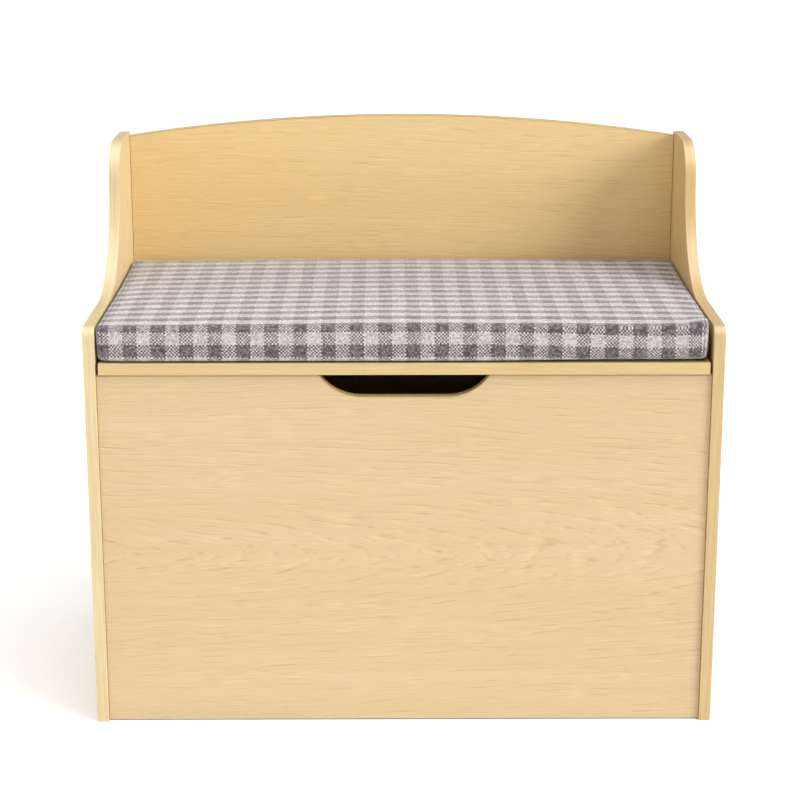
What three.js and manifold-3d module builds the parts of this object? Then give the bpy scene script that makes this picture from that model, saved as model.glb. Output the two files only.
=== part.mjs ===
// Wooden toy box: a storage chest with arm-shaped side panels, an arched backrest, a scooped front
// panel and a padded lid that turns on two steel pivots in the side panels.
// Millimetres, +Z up. The front faces -Y and the origin is on the floor, in the middle of the box.
import * as THREE from "three";
import { mergeVertices } from "three/addons/utils/BufferGeometryUtils.js";
import Module from "manifold-3d";

const wasm = await Module();
wasm.setup();

// Whole box and its boards
const WIDTH = 660;
const DEPTH = 360;
const BOARD = 12;
const EDGING = 1; // plastic edging on every bare board edge that shows
const GLUE_LINE = 0.1; // between a board's edge and its edging
const PANEL_END_GAP = 0.4; // between a cross panel's end and the side panel
const TOUCH_GAP = 0.1; // between flat faces that lie on each other
const CUT_GAP = 0.3; // round a screw, spigot or tongue in its hole or groove

// Side panels
const SIDE_TOP = 588;
const ARM_TOP = 435.5;
const ARM_CORNER_R = 14;
const ARM_FLAT_END = 125; // behind the front edge, where the arm starts to sweep up
const SWEEP_R = 120; // hollow curve from the arm up to the shoulder
const SHOULDER_R = 45; // round curve from the sweep to the top
const REAR_CORNER_R = 4;

// Cross panels
const FLOOR_GAP = 1;
const ARCH_APEX = 608;
const ARCH_END = 584;
const FRONT_RECESS = 4; // front panel's face behind the side panels' front edges
const BOTTOM_UNDERSIDE = 20;
const GROOVE_DEPTH = 4; // holds the bottom panel's front and rear edges

// Lid
const LID_UNDERSIDE = 385.5;
const LID_SIDE_GAP = 3;
const LID_REAR_GAP = 3;
const BUMPER_HEIGHT = 0.9;
const BUMPER_R = 4;
const BUMPER_X = 260;

// Hand scoop in the front panel's top edge
const SCOOP_WIDTH = 176;
const SCOOP_DEPTH = 23.5;
const SCOOP_R = 52;

// Pivots: an L plate with a pin under each end of the lid
const PIVOT_FROM_BACKREST = 90; // far enough for the pad's rear edge to swing past the backrest
const PIN_R = 4;
const PIN_BORE_R = 4.1;
const PLATE_LENGTH = 40; // along Y
const FLANGE_REACH = 45; // along X, under the lid
const FLANGE_THICKNESS = 1.8;
const LEG_THICKNESS = 1.5;
const BUSH_R = 6;
const BUSH_FLANGE_R = 10;
const BUSH_FLANGE_THICKNESS = 1;
const COUNTERBORE_R = 11;
const COUNTERBORE_DEPTH = 5;
const WASHER_R = 10;
const WASHER_THICKNESS = 0.8;
const NUT_R = 7.5; // across the corners
const NUT_THICKNESS = 3.2;
const PIVOT_CAP_R = 13;
const PIVOT_CAP_SPIGOT_R = 10.7;
const PIVOT_CAP_SPIGOT_WALL = 1.5;

// Screws: radius of the shank and head, and whole length
const SIDE_SCREW = { shank: 2, head: 4, headHeight: 2.6, length: 40 };
const PLATE_SCREW = { shank: 1.75, head: 3.5, headHeight: 2, length: 11 };
const SCREW_TIP = 2; // length of a screw's point, in shank radii
const PLATE_HOLE_R = 2.2;
const PLATE_SCREW_OFFSET = 10; // in front of and behind the pivot
const PLATE_SCREW_INSETS = [10, 25]; // from the flange's inner end, front and rear screw
const SCREW_CAP_R = 6;
const CAP_THICKNESS = 1.6;
const SPIGOT_DEPTH = 2; // pivot cap's spigot, in the counterbore
const HEAD_SUNK = 0.3; // side screws' heads below the board's face

// Seat pad
const PAD_SIDE_GAP = 3;
const PAD_SETBACK = 2; // behind the lid's front edge
const PAD_REAR_GAP = 12; // to the backrest
const PAD_HEIGHT = 40;
const PAD_CORNER_R = 12; // seen from above
const PAD_EDGE_R = 9;
const COVER_THICKNESS = 1.2;
const ZIP_LENGTH = 560;
const ZIP_OPENING = 7;
const ZIP_RIDGE = { height: 3, depth: 0.6 };
const SLIDER = { length: 10, nose: 2.2, shoulder: 3.2, thickness: 1.9 };
const PULL = { width: 6, drop: 13, holeR: 1.5, thickness: 1.2 };
const FASTENER = { x: 200, width: 25, length: 240, thickness: 0.6 }; // hook and loop strips

// Roundness: flat facets along each curve
const SWEEP_STEPS = 24;
const SHOULDER_STEPS = 14;
const ARM_CORNER_STEPS = 8;
const REAR_CORNER_STEPS = 3;
const ARCH_STEPS = 40;
const SCOOP_STEPS = 14;
const PAD_CORNER_STEPS = 5;
const BORE_SEGMENTS = 24;
const CAP_SEGMENTS = 20;
const SCREW_SEGMENTS = 12;

// Levels and faces worked out from the above
const FRONT = -DEPTH / 2;
const BACK = DEPTH / 2;
const OUTER = WIDTH / 2;
const INNER = OUTER - BOARD;
const PANEL_END = INNER - PANEL_END_GAP;
const EDGE_CUTBACK = EDGING + GLUE_LINE;
const FRONT_TOP = LID_UNDERSIDE - BUMPER_HEIGHT - TOUCH_GAP;
const FRONT_FACE = FRONT + FRONT_RECESS;
const FRONT_INSIDE = FRONT_FACE + BOARD;
const BACKREST_FACE = BACK - BOARD;
const LID_TOP = LID_UNDERSIDE + BOARD;
const LID_END = INNER - LID_SIDE_GAP;
const LID_REAR = BACKREST_FACE - LID_REAR_GAP;
const PIVOT = { y: BACKREST_FACE - PIVOT_FROM_BACKREST, z: LID_UNDERSIDE + BOARD / 2 };
const PAD_UNDERSIDE = LID_TOP + 2 * FASTENER.thickness + TOUCH_GAP;
const PAD_FRONT = FRONT + PAD_SETBACK;
const PAD_REAR = BACKREST_FACE - PAD_REAR_GAP;
const ZIP_LEVEL = PAD_UNDERSIDE + PAD_HEIGHT / 2;

const AXIS_X = new THREE.Vector3(1, 0, 0);
const AXIS_Y = new THREE.Vector3(0, 1, 0);
const AXIS_Z = new THREE.Vector3(0, 0, 1);
const SIDEWAYS = new THREE.Matrix4().makeBasis(AXIS_Y, AXIS_Z, AXIS_X);
const UPRIGHT = new THREE.Matrix4().makeBasis(AXIS_X, AXIS_Z, AXIS_Y.clone().negate());

// ---- Solids and booleans ----

function solidOf(geometry) {
  const bare = geometry.clone();
  bare.deleteAttribute("normal");
  bare.deleteAttribute("uv");
  const merged = mergeVertices(bare, 1e-4);
  const vertProperties = merged.attributes.position.array;
  const triVerts = new Uint32Array(merged.index.array);
  return new wasm.Manifold(new wasm.Mesh({ numProp: 3, vertProperties, triVerts }));
}

function geometryOf(solid) {
  const mesh = solid.getMesh();
  const geometry = new THREE.BufferGeometry();
  geometry.setAttribute("position", new THREE.BufferAttribute(mesh.vertProperties, 3));
  geometry.setIndex(new THREE.BufferAttribute(mesh.triVerts, 1));
  const faceted = geometry.toNonIndexed();
  faceted.computeVertexNormals();
  return faceted;
}

function cut(geometry, tools) {
  return geometryOf(tools.reduce((solid, tool) => solid.subtract(solidOf(tool)), solidOf(geometry)));
}

function join(geometries) {
  return geometryOf(geometries.map(solidOf).reduce((whole, piece) => whole.add(piece)));
}

function box(x0, x1, y0, y1, z0, z1) {
  const geometry = new THREE.BoxGeometry(x1 - x0, y1 - y0, z1 - z0);
  return geometry.translate((x0 + x1) / 2, (y0 + y1) / 2, (z0 + z1) / 2);
}

// A rod along X from x0 to x1, its axis at height z and depth y
function rod(radius, x0, x1, y, z, segments = BORE_SEGMENTS) {
  const geometry = new THREE.CylinderGeometry(radius, radius, x1 - x0, segments);
  return geometry.rotateZ(-Math.PI / 2).translate((x0 + x1) / 2, y, z);
}

// A turned piece: [radius, height] points from the axis round to the axis, its own axis on local Y
function turned(profile, segments = SCREW_SEGMENTS) {
  return new THREE.LatheGeometry(profile.map(([r, h]) => new THREE.Vector2(r, h)), segments);
}

// Lays a turned piece on its side, its top towards +X
function topTowardsX(geometry, x, y, z) {
  return geometry.rotateZ(-Math.PI / 2).translate(x, y, z);
}

const point = (a, b) => new THREE.Vector2(a, b);

// Points along an arc, both ends included
function arc(a, b, radius, from, to, steps) {
  return Array.from({ length: steps + 1 }, (_, i) => {
    const angle = from + ((to - from) * i) / steps;
    return point(a + radius * Math.cos(angle), b + radius * Math.sin(angle));
  });
}

// A board from x0 to x1 whose outline's points are (y, z)
function sidewaysBoard(points, x0, x1) {
  const options = { depth: x1 - x0, bevelEnabled: false };
  const board = new THREE.ExtrudeGeometry(new THREE.Shape(points), options);
  return board.applyMatrix4(SIDEWAYS).translate(x0, 0, 0);
}

// A board from y0 back to y1 whose outline's points are (x, z)
function uprightBoard(points, y0, y1) {
  const options = { depth: y1 - y0, bevelEnabled: false };
  const board = new THREE.ExtrudeGeometry(new THREE.Shape(points), options);
  return board.applyMatrix4(UPRIGHT).translate(0, y1, 0);
}

// The thin strip between an edge line and the same line set into the board by the edging's thickness
function edgeStrip(edgeLine) {
  return [...edgeLine(0), ...edgeLine(EDGING).reverse()];
}

function mirrored(geometry) {
  const turnedRound = geometry.clone().scale(-1, 1, 1);
  const flat = turnedRound.index ? turnedRound.toNonIndexed() : turnedRound;
  const position = flat.attributes.position;
  const corner = new THREE.Vector3();
  const other = new THREE.Vector3();
  for (let i = 0; i < position.count; i += 3) {
    corner.fromBufferAttribute(position, i + 1);
    other.fromBufferAttribute(position, i + 2);
    position.setXYZ(i + 1, other.x, other.y, other.z);
    position.setXYZ(i + 2, corner.x, corner.y, corner.z);
  }
  flat.computeVertexNormals();
  return flat;
}

// ---- Materials ----

const look = (color, roughness, metalness = 0) =>
  new THREE.MeshStandardMaterial({ color, roughness, metalness });
const maple = () => look(0xe6cb99, 0.55);
const edging = () => look(0xead9b8, 0.4);
const steel = () => look(0xb9bcc0, 0.35, 0.9);
const nylon = () => look(0xe8e6e0, 0.5);
const capPlastic = () => look(0xdcc79e, 0.45);
const rubber = () => look(0xd8d5cc, 0.7);
const gingham = () => look(0xa79fa2, 0.95);
const foam = () => look(0xf1ead2, 0.95);
const zipTape = () => look(0x8d868a, 0.8);
const hookTape = () => look(0xdedad2, 0.9);

function part(name, geometry, material) {
  const mesh = new THREE.Mesh(geometry, material);
  mesh.name = name;
  return mesh;
}

// The same piece at both ends of the box: made at +X, mirrored for -X
function pair(name, geometry, material) {
  return [
    part(`left_${name}`, mirrored(geometry), material()),
    part(`right_${name}`, geometry, material()),
  ];
}

// ---- Edge lines ----

// Side panel seen from +X, from its front foot over the arm and shoulder to its rear foot
function sideEdge(inset) {
  const quarter = Math.PI / 2;
  const sweepY = FRONT + ARM_FLAT_END;
  const sweepZ = ARM_TOP + SWEEP_R;
  const shoulderZ = SIDE_TOP - SHOULDER_R;
  const shoulderY = sweepY + Math.sqrt((SWEEP_R + SHOULDER_R) ** 2 - (sweepZ - shoulderZ) ** 2);
  const meeting = Math.atan2(shoulderZ - sweepZ, shoulderY - sweepY);
  const arm = { y: FRONT + ARM_CORNER_R, z: ARM_TOP - ARM_CORNER_R, r: ARM_CORNER_R - inset };
  const rear = { y: BACK - REAR_CORNER_R, z: SIDE_TOP - REAR_CORNER_R, r: REAR_CORNER_R - inset };
  return [
    point(FRONT + inset, 0),
    ...arc(arm.y, arm.z, arm.r, Math.PI, quarter, ARM_CORNER_STEPS),
    ...arc(sweepY, sweepZ, SWEEP_R + inset, -quarter, meeting, SWEEP_STEPS),
    ...arc(shoulderY, shoulderZ, SHOULDER_R - inset, Math.PI + meeting, quarter, SHOULDER_STEPS).slice(1),
    ...arc(rear.y, rear.z, rear.r, quarter, 0, REAR_CORNER_STEPS),
    point(BACK - inset, 0),
  ];
}

// Backrest's arched top, from left to right
function archEdge(inset) {
  const rise = ARCH_APEX - ARCH_END;
  const radius = (rise ** 2 + PANEL_END ** 2) / (2 * rise);
  const reach = Math.asin(PANEL_END / (radius - inset));
  const from = Math.PI / 2 + reach;
  return arc(0, ARCH_APEX - radius, radius - inset, from, Math.PI - from, ARCH_STEPS);
}

// Front panel's top edge with the hand scoop, from left to right
function scoopEdge(inset) {
  const level = FRONT_TOP - inset;
  const centreZ = FRONT_TOP - SCOOP_DEPTH + SCOOP_R;
  const centreX = SCOOP_WIDTH / 2 - Math.sqrt(SCOOP_R ** 2 - (centreZ - FRONT_TOP) ** 2);
  const radius = SCOOP_R + inset;
  const mouth = Math.asin((level - centreZ) / radius);
  const down = -Math.PI / 2;
  return [
    point(-PANEL_END, level),
    ...arc(-centreX, centreZ, radius, -Math.PI - mouth, down, SCOOP_STEPS),
    ...arc(centreX, centreZ, radius, down, mouth, SCOOP_STEPS),
    point(PANEL_END, level),
  ];
}

// A cross panel's whole outline, from its top edge line down to its foot
function standingPanel(topEdge) {
  return [...topEdge, point(PANEL_END, FLOOR_GAP), point(-PANEL_END, FLOOR_GAP)];
}

// ---- Screws and caps ----

function crossRecess(screw) {
  const reach = screw.head * 0.55;
  const slot = 0.5;
  const depth = screw.headHeight * 0.6;
  const across = new THREE.BoxGeometry(2 * reach, 2 * depth, 2 * slot);
  const along = new THREE.BoxGeometry(2 * slot, 2 * depth, 2 * reach);
  return [across, along];
}

// Countersunk screw, pointing down local Y from its flat head at 0
function countersunkScrew(screw) {
  const { shank, head, headHeight, length } = screw;
  const profile = [
    [0, -length],
    [shank, -length + SCREW_TIP * shank],
    [shank, -headHeight],
    [head, 0],
    [0, 0],
  ];
  return cut(turned(profile), crossRecess(screw));
}

// Round-headed screw, its shank's head face at 0 and its head above it
function panHeadScrew(screw) {
  const { shank, head, headHeight, length } = screw;
  const profile = [
    [0, -length],
    [shank, -length + SCREW_TIP * shank],
    [shank, 0],
    [head, 0],
    [head, headHeight / 2],
    [head * 0.7, headHeight],
    [0, headHeight],
  ];
  const recess = crossRecess(screw).map((slot) => slot.translate(0, headHeight, 0));
  return cut(turned(profile), recess);
}

function domedCap(radius) {
  const profile = [
    [0, 0],
    [radius, 0],
    [radius, CAP_THICKNESS * 0.35],
    [radius * 0.85, CAP_THICKNESS * 0.8],
    [0, CAP_THICKNESS],
  ];
  return turned(profile, CAP_SEGMENTS);
}

// Where the side panels are screwed to the ends of the cross panels
const SIDE_SCREWS = [
  { name: "front_lower", y: FRONT_FACE + BOARD / 2, z: 70 },
  { name: "front_upper", y: FRONT_FACE + BOARD / 2, z: 320 },
  { name: "bottom_front", y: -90, z: BOTTOM_UNDERSIDE + BOARD / 2 },
  { name: "bottom_rear", y: 90, z: BOTTOM_UNDERSIDE + BOARD / 2 },
  { name: "back_lower", y: BACK - BOARD / 2, z: 120 },
  { name: "back_upper", y: BACK - BOARD / 2, z: 480 },
];

// Clearance for each side screw, made at +X: shank and cone together
function screwHole({ y, z }) {
  const { shank, head, headHeight, length } = SIDE_SCREW;
  const bottom = -length - shank;
  const mouth = HEAD_SUNK + CUT_GAP;
  const profile = [
    [0, bottom],
    [shank + CUT_GAP, bottom],
    [shank + CUT_GAP, -headHeight],
    [head + CUT_GAP, CUT_GAP],
    [head + CUT_GAP, mouth],
    [0, mouth],
  ];
  return topTowardsX(turned(profile), OUTER - HEAD_SUNK, y, z);
}

function holesAtBothEnds(prefix) {
  const holes = SIDE_SCREWS.filter(({ name }) => name.startsWith(prefix)).map(screwHole);
  return [...holes, ...holes.map(mirrored)];
}

function sideScrews() {
  return SIDE_SCREWS.flatMap(({ name, y, z }) => {
    const screw = topTowardsX(countersunkScrew(SIDE_SCREW), OUTER - HEAD_SUNK, y, z);
    const cap = topTowardsX(domedCap(SCREW_CAP_R), OUTER + TOUCH_GAP, y, z);
    return [...pair(`${name}_screw`, screw, steel), ...pair(`${name}_cap`, cap, capPlastic)];
  });
}

// ---- Boards ----

function sidePanels() {
  const board = sidewaysBoard(sideEdge(EDGE_CUTBACK), INNER, OUTER);
  const bushHole = rod(BUSH_R + CUT_GAP, INNER - 1, OUTER, PIVOT.y, PIVOT.z);
  const counterbore = rod(COUNTERBORE_R, OUTER - COUNTERBORE_DEPTH, OUTER + 1, PIVOT.y, PIVOT.z);
  const drilled = cut(board, [...SIDE_SCREWS.map(screwHole), bushHole, counterbore]);
  const strip = sidewaysBoard(edgeStrip(sideEdge), INNER, OUTER);
  return [...pair("side_panel", drilled, maple), ...pair("side_edging", strip, edging)];
}

function bottomGroove(y0, y1) {
  const underside = BOTTOM_UNDERSIDE - CUT_GAP;
  return box(-OUTER, OUTER, y0, y1, underside, BOTTOM_UNDERSIDE + BOARD + CUT_GAP);
}

function frontPanel() {
  const board = uprightBoard(standingPanel(scoopEdge(EDGE_CUTBACK)), FRONT_FACE, FRONT_INSIDE);
  const groove = bottomGroove(FRONT_INSIDE - GROOVE_DEPTH, FRONT_INSIDE + 1);
  return [
    part("front_panel", cut(board, [groove, ...holesAtBothEnds("front")]), maple()),
    part("front_edging", uprightBoard(edgeStrip(scoopEdge), FRONT_FACE, FRONT_INSIDE), edging()),
  ];
}

function backPanel() {
  const board = uprightBoard(standingPanel(archEdge(EDGE_CUTBACK)), BACKREST_FACE, BACK);
  const groove = bottomGroove(BACKREST_FACE - 1, BACKREST_FACE + GROOVE_DEPTH);
  return [
    part("back_panel", cut(board, [groove, ...holesAtBothEnds("back")]), maple()),
    part("back_edging", uprightBoard(edgeStrip(archEdge), BACKREST_FACE, BACK), edging()),
  ];
}

function bottomPanel() {
  const y0 = FRONT_INSIDE - GROOVE_DEPTH + CUT_GAP;
  const y1 = BACKREST_FACE + GROOVE_DEPTH - CUT_GAP;
  const top = BOTTOM_UNDERSIDE + BOARD;
  const board = box(-PANEL_END, PANEL_END, y0, y1, BOTTOM_UNDERSIDE, top);
  return [part("bottom_panel", cut(board, holesAtBothEnds("bottom")), maple())];
}

function lidBumpers() {
  const y = FRONT_FACE + BOARD / 2;
  const disc = new THREE.CylinderGeometry(BUMPER_R, BUMPER_R, BUMPER_HEIGHT, SCREW_SEGMENTS);
  disc.rotateX(Math.PI / 2).translate(BUMPER_X, y, FRONT_TOP + BUMPER_HEIGHT / 2);
  return pair("lid_bumper", disc, rubber);
}

// ---- Lid and pivots ----

const FLANGE = {
  x0: LID_END + CUT_GAP - FLANGE_REACH,
  x1: LID_END + CUT_GAP + LEG_THICKNESS,
  z0: LID_UNDERSIDE - TOUCH_GAP - FLANGE_THICKNESS,
  z1: LID_UNDERSIDE - TOUCH_GAP,
};
const PLATE_SCREWS = [
  { name: "plate_screw_front", x: FLANGE.x0 + PLATE_SCREW_INSETS[0], y: PIVOT.y - PLATE_SCREW_OFFSET },
  { name: "plate_screw_rear", x: FLANGE.x0 + PLATE_SCREW_INSETS[1], y: PIVOT.y + PLATE_SCREW_OFFSET },
];

function lid() {
  const board = box(-LID_END, LID_END, FRONT + EDGE_CUTBACK, LID_REAR, LID_UNDERSIDE, LID_TOP);
  const radius = PLATE_SCREW.shank + CUT_GAP;
  const depth = PLATE_SCREW.length;
  const pilots = PLATE_SCREWS.map(({ x, y }) => {
    const pilot = new THREE.CylinderGeometry(radius, radius, 2 * depth, SCREW_SEGMENTS);
    return pilot.rotateX(Math.PI / 2).translate(x, y, LID_UNDERSIDE - TOUCH_GAP - CUT_GAP);
  });
  const strip = box(-LID_END, LID_END, FRONT, FRONT + EDGING, LID_UNDERSIDE, LID_TOP);
  return [
    part("lid_panel", cut(board, [...pilots, ...pilots.map(mirrored)]), maple()),
    part("lid_edging", strip, edging()),
  ];
}

// L plate: its flange lies under the lid, and its leg carries the pin beside the lid's end
function pivotPlate() {
  const y0 = PIVOT.y - PLATE_LENGTH / 2;
  const y1 = PIVOT.y + PLATE_LENGTH / 2;
  const flange = box(FLANGE.x0, FLANGE.x1, y0, y1, FLANGE.z0, FLANGE.z1);
  const leg = box(FLANGE.x1 - LEG_THICKNESS, FLANGE.x1, y0, y1, FLANGE.z0, LID_TOP);
  const pinEnd = OUTER - TOUCH_GAP - HEAD_SUNK;
  const pin = rod(PIN_R, FLANGE.x1 - LEG_THICKNESS / 2, pinEnd, PIVOT.y, PIVOT.z);
  const holes = PLATE_SCREWS.map(({ x, y }) => {
    const length = 4 * FLANGE_THICKNESS;
    const hole = new THREE.CylinderGeometry(PLATE_HOLE_R, PLATE_HOLE_R, length, SCREW_SEGMENTS);
    return hole.rotateX(Math.PI / 2).translate(x, y, FLANGE.z0);
  });
  return cut(join([flange, leg, pin]), holes);
}

function frictionWasher() {
  const ring = [
    [PIN_R + CUT_GAP, 0],
    [WASHER_R, 0],
    [WASHER_R, WASHER_THICKNESS],
    [PIN_R + CUT_GAP, WASHER_THICKNESS],
    [PIN_R + CUT_GAP, 0],
  ];
  const x = FLANGE.x1 + (INNER - FLANGE.x1 - WASHER_THICKNESS) / 2;
  return topTowardsX(turned(ring, BORE_SEGMENTS), x, PIVOT.y, PIVOT.z);
}

// Flanged nylon bush, its flange on the floor of the counterbore
function pivotBush() {
  const floor = OUTER - COUNTERBORE_DEPTH + TOUCH_GAP;
  const sleeve = floor - INNER - TOUCH_GAP;
  const ring = [
    [PIN_BORE_R, -sleeve],
    [BUSH_R, -sleeve],
    [BUSH_R, 0],
    [BUSH_FLANGE_R, 0],
    [BUSH_FLANGE_R, BUSH_FLANGE_THICKNESS],
    [PIN_BORE_R, BUSH_FLANGE_THICKNESS],
    [PIN_BORE_R, -sleeve],
  ];
  return topTowardsX(turned(ring, BORE_SEGMENTS), floor, PIVOT.y, PIVOT.z);
}

function lockNut() {
  const x0 = OUTER - COUNTERBORE_DEPTH + 2 * TOUCH_GAP + BUSH_FLANGE_THICKNESS;
  const hexagon = rod(NUT_R, x0, x0 + NUT_THICKNESS, PIVOT.y, PIVOT.z, 6);
  const bore = rod(PIN_R + CUT_GAP, x0 - 1, x0 + NUT_THICKNESS + 1, PIVOT.y, PIVOT.z);
  return cut(hexagon, [bore]);
}

function pivotCap() {
  const outside = PIVOT_CAP_SPIGOT_R;
  const inside = outside - PIVOT_CAP_SPIGOT_WALL;
  const root = CAP_THICKNESS / 4;
  const wall = [
    [inside, -SPIGOT_DEPTH],
    [outside, -SPIGOT_DEPTH],
    [outside, root],
    [inside, root],
    [inside, -SPIGOT_DEPTH],
  ];
  const cap = join([domedCap(PIVOT_CAP_R), turned(wall, BORE_SEGMENTS)]);
  return topTowardsX(cap, OUTER + TOUCH_GAP, PIVOT.y, PIVOT.z);
}

function plateScrews() {
  return PLATE_SCREWS.flatMap(({ name, x, y }) => {
    const screw = panHeadScrew(PLATE_SCREW).rotateX(-Math.PI / 2);
    return pair(name, screw.translate(x, y, FLANGE.z0 - TOUCH_GAP), steel);
  });
}

function pivots() {
  return [
    ...pair("pivot_plate", pivotPlate(), steel),
    ...pair("friction_washer", frictionWasher(), nylon),
    ...pair("pivot_bush", pivotBush(), nylon),
    ...pair("lock_nut", lockNut(), steel),
    ...pair("pivot_cap", pivotCap(), capPlastic),
    ...plateScrews(),
  ];
}

// ---- Seat pad ----

// A pad-shaped slab whose faces all lie `inset` inside the pad's outside
function padSlab(inset) {
  const halfWidth = INNER - PAD_SIDE_GAP - PAD_EDGE_R;
  const front = PAD_FRONT + PAD_EDGE_R;
  const rear = PAD_REAR - PAD_EDGE_R;
  const corner = PAD_CORNER_R - PAD_EDGE_R;
  const roll = PAD_EDGE_R - inset;
  const right = halfWidth - corner;
  const quarter = Math.PI / 2;
  const outline = new THREE.Shape([
    ...arc(-right, front + corner, corner, 2 * quarter, 3 * quarter, PAD_CORNER_STEPS),
    ...arc(right, front + corner, corner, 3 * quarter, 4 * quarter, PAD_CORNER_STEPS),
    ...arc(right, rear - corner, corner, 0, quarter, PAD_CORNER_STEPS),
    ...arc(-right, rear - corner, corner, quarter, 2 * quarter, PAD_CORNER_STEPS),
  ]);
  const slab = new THREE.ExtrudeGeometry(outline, {
    depth: PAD_HEIGHT - 2 * PAD_EDGE_R,
    bevelSize: roll,
    bevelThickness: roll,
    bevelSegments: PAD_CORNER_STEPS,
  });
  return slab.translate(0, 0, PAD_UNDERSIDE + PAD_EDGE_R);
}

function padZip() {
  const half = ZIP_LENGTH / 2 - CUT_GAP;
  const tape = ZIP_OPENING / 2 - CUT_GAP;
  const ridge = ZIP_RIDGE.height / 2;
  const face = PAD_REAR + ZIP_RIDGE.depth;
  const section = [
    point(PAD_REAR - COVER_THICKNESS, -tape),
    point(PAD_REAR, -tape),
    point(PAD_REAR, -ridge),
    point(face, -ridge),
    point(face, ridge),
    point(PAD_REAR, ridge),
    point(PAD_REAR, tape),
    point(PAD_REAR - COVER_THICKNESS, tape),
  ];
  return sidewaysBoard(section, -half, half).translate(0, 0, ZIP_LEVEL);
}

// Slider at the zip's closed end, with its pull hanging down the back of the pad
function zipSlider() {
  const { length, nose, shoulder, thickness } = SLIDER;
  const y0 = PAD_REAR + ZIP_RIDGE.depth + CUT_GAP;
  const y1 = y0 + thickness;
  const body = [
    point(-length / 2, -nose),
    point(length / 4, -shoulder),
    point(length / 2, -nose),
    point(length / 2, nose),
    point(length / 4, shoulder),
    point(-length / 2, nose),
  ];
  const { width, drop, holeR } = PULL;
  const pull = [
    point(-width / 2, 0),
    ...arc(0, -drop, width / 2, Math.PI, 2 * Math.PI, ARM_CORNER_STEPS),
    point(width / 2, 0),
  ];
  const hole = new THREE.CylinderGeometry(holeR, holeR, 4 * thickness, SCREW_SEGMENTS);
  const eye = hole.translate(0, y1, -drop);
  const pullPlate = cut(uprightBoard(pull, y1 - PULL.thickness / 2, y1 + PULL.thickness / 2), [eye]);
  const slider = join([uprightBoard(body, y0, y1), pullPlate]);
  return slider.translate(ZIP_LENGTH / 2 - length, 0, ZIP_LEVEL);
}

function seatPad() {
  const half = ZIP_LENGTH / 2;
  const low = ZIP_LEVEL - ZIP_OPENING / 2;
  const opening = box(-half, half, PAD_REAR - 3, PAD_REAR + 1, low, low + ZIP_OPENING);
  const cover = cut(padSlab(0), [padSlab(COVER_THICKNESS), opening]);
  return [
    part("pad_cover", cover, gingham()),
    part("pad_foam", padSlab(COVER_THICKNESS + CUT_GAP), foam()),
    part("pad_zip", padZip(), zipTape()),
    part("zip_slider", zipSlider(), steel()),
  ];
}

function padFasteners() {
  const x0 = FASTENER.x - FASTENER.width / 2;
  const x1 = FASTENER.x + FASTENER.width / 2;
  const y0 = (PAD_FRONT + PAD_REAR - FASTENER.length) / 2;
  const y1 = y0 + FASTENER.length;
  const meeting = LID_TOP + FASTENER.thickness;
  const hook = box(x0, x1, y0, y1, LID_TOP, meeting);
  const loop = box(x0, x1, y0, y1, meeting + TOUCH_GAP, PAD_UNDERSIDE);
  return [...pair("hook_strip", hook, hookTape), ...pair("loop_strip", loop, hookTape)];
}

// ---- Assembly ----

function assembly(...pieces) {
  const group = new THREE.Group();
  group.add(...pieces.flat());
  return group;
}

const carcass = assembly(sidePanels(), frontPanel(), backPanel(), bottomPanel(), sideScrews(), lidBumpers());
const lidUnit = assembly(lid(), pivots());
const pad = assembly(seatPad(), padFasteners());

export default assembly(carcass, lidUnit, pad);
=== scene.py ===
"""The looks of the wooden toy box: maple-foil boards, plastic edging, hardware and a gingham seat pad."""

import itertools
import math

import bpy
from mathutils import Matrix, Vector, noise


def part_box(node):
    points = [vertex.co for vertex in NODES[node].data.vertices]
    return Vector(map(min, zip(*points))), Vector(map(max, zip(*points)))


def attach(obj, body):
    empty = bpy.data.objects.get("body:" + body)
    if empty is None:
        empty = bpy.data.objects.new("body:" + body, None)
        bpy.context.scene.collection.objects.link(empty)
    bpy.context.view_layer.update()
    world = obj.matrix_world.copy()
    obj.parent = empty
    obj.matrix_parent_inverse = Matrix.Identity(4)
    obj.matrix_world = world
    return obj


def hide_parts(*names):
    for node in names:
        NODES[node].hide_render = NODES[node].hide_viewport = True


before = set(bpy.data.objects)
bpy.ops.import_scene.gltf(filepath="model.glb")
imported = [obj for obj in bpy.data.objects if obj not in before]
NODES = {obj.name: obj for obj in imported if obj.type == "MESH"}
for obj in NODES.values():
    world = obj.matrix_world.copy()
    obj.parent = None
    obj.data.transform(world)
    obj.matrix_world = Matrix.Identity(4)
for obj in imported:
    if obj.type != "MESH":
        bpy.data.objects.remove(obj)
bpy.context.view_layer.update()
MM = 0.001


# ---- Camera and studio ----

EYE = Vector((-0.01715, -2.2150, 0.9146))  # in front of the box and a little above it
YAW = 0.0062
PITCH = 0.2666
LENS = 91.96
SENSOR = 36
FLOOR_SIDE = 400
FLOOR_WHITE = 0.88
WORLD_STRENGTH = 0.28
HORIZON_STRENGTH = 1.0
HORIZON_HEIGHT = 0.07  # of the white band behind the floor, as a sine
HORIZON_SOLID = 0.6  # share of the band's height that has its full strength
LAMPS = {  # wide, far lamps: degrees round from the front and above the floor, width in degrees, strength
    "key_lamp": {"azimuth": 58, "elevation": 22, "width": 32, "strength": 2.5},
    "top_lamp": {"azimuth": 20, "elevation": 82, "width": 62, "strength": 2.8},
    "fill_lamp": {"azimuth": -60, "elevation": 30, "width": 60, "strength": 0.45},
}


def make_camera():
    data = bpy.data.cameras.new("camera")
    data.sensor_width = SENSOR
    data.lens = LENS
    data.clip_end = 100
    camera = bpy.data.objects.new("camera", data)
    camera.location = EYE
    camera.rotation_euler = (math.pi / 2 - PITCH, 0, -YAW)
    bpy.context.scene.collection.objects.link(camera)
    bpy.context.scene.camera = camera


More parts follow.
